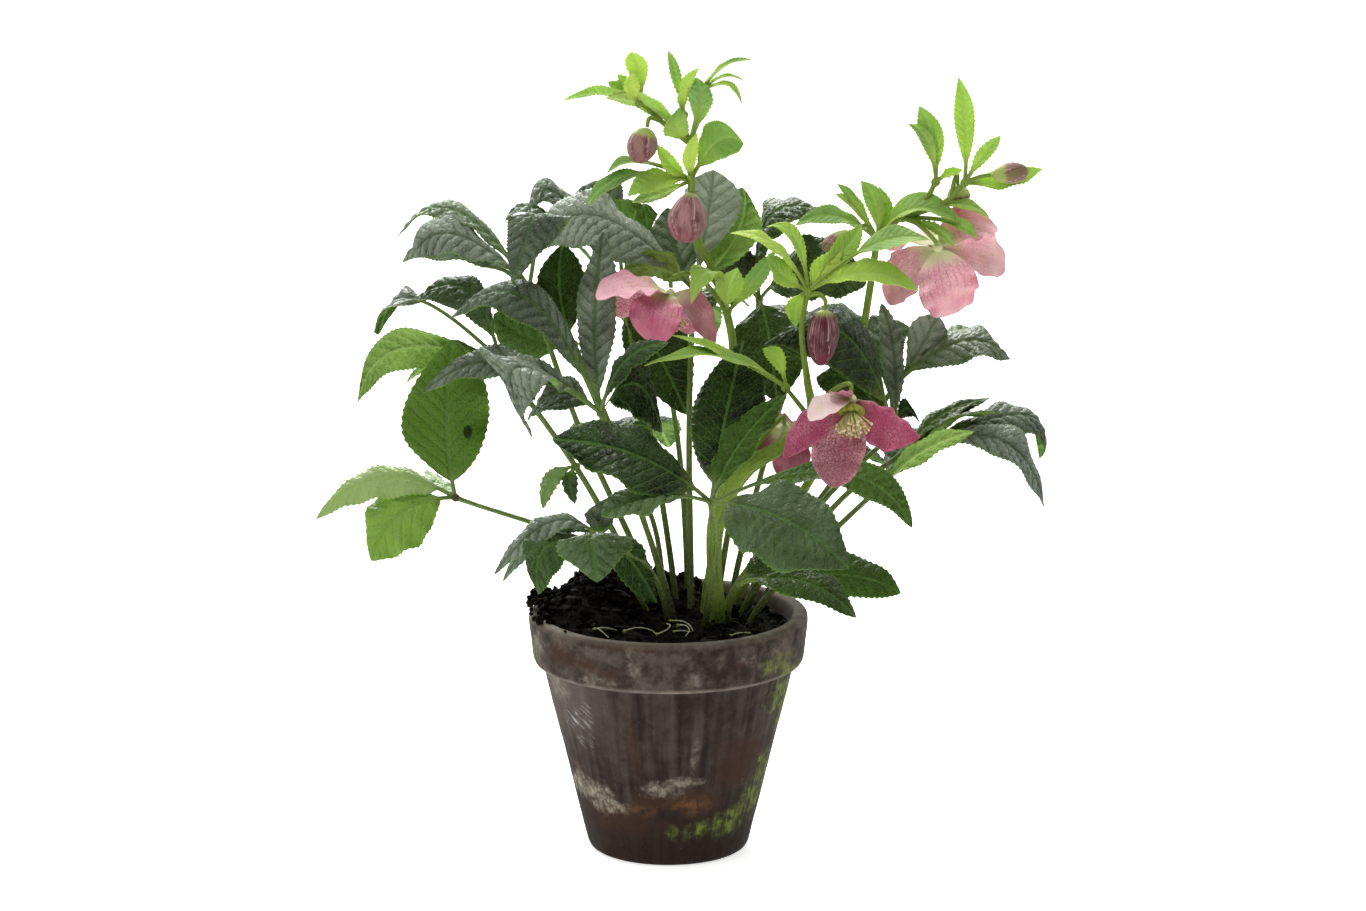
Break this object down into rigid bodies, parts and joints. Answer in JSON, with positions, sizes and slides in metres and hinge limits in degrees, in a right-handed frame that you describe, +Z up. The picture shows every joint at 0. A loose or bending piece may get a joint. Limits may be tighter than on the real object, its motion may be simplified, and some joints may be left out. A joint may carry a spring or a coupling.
{
  "type": "potted hellebore plant",
  "caption": "Hellebore in flower in a round clay pot: long-stalked leaves with toothed fingers, branched stems with pale bracts, nodding pink blooms and egg-shaped buds.",
  "frame": {"origin": "under the middle of the plant's whole width and depth, on the surface the pot stands on; the pot's own axis is 9 mm to -X and 18 mm to -Y of it", "axes": "+Z up along the pot's axis, -Y towards the side with the open front bloom, +X to the right seen from there"},
  "size_m": [0.3838, 0.3034, 0.426],
  "materials": {
    "pot": "matte",
    "soil": "matte",
    "rootstock": "matte",
    "leaf": "satin",
    "stem": "satin",
    "sepal": "matte",
    "heart": "matte",
    "bud": "matte"
  },
  "bodies": {
    "root": {"pot": "pot", "soil": "soil", "rootstock": "rootstock", "leaf_far_left": "leaf", "leaf_middle_left": "leaf", "leaf_upper_left": "leaf", "leaf_inner_left": "leaf", "leaf_centre_left": "leaf", "leaf_low_left": "leaf", "leaf_front": "leaf", "leaf_low_right": "leaf", "leaf_right_high": "leaf", "leaf_right_centre": "leaf", "leaf_back_right": "leaf", "leaf_centre_top": "leaf", "leaf_back_left": "leaf", "leaf_rear_left": "leaf", "leaf_rear_right": "leaf", "leaf_rear_low_left": "leaf", "leaf_rear_low_right": "leaf", "leaves_right": "leaf", "stem_centre": "stem", "stem_front": "stem", "stem_right": "stem", "bloom_left_sepals": "sepal", "bloom_left_heart": "heart", "bloom_right_sepals": "sepal", "bloom_right_heart": "heart", "bloom_front_sepals": "sepal", "bloom_front_heart": "heart", "bloom_hidden_sepals": "sepal", "bloom_hidden_heart": "heart", "bud_centre": "bud", "bud_top": "bud", "bud_right_tip": "bud", "bud_right_fork": "bud", "bud_small": "bud", "bud_front": "bud"}
  },
  "joints": []
}
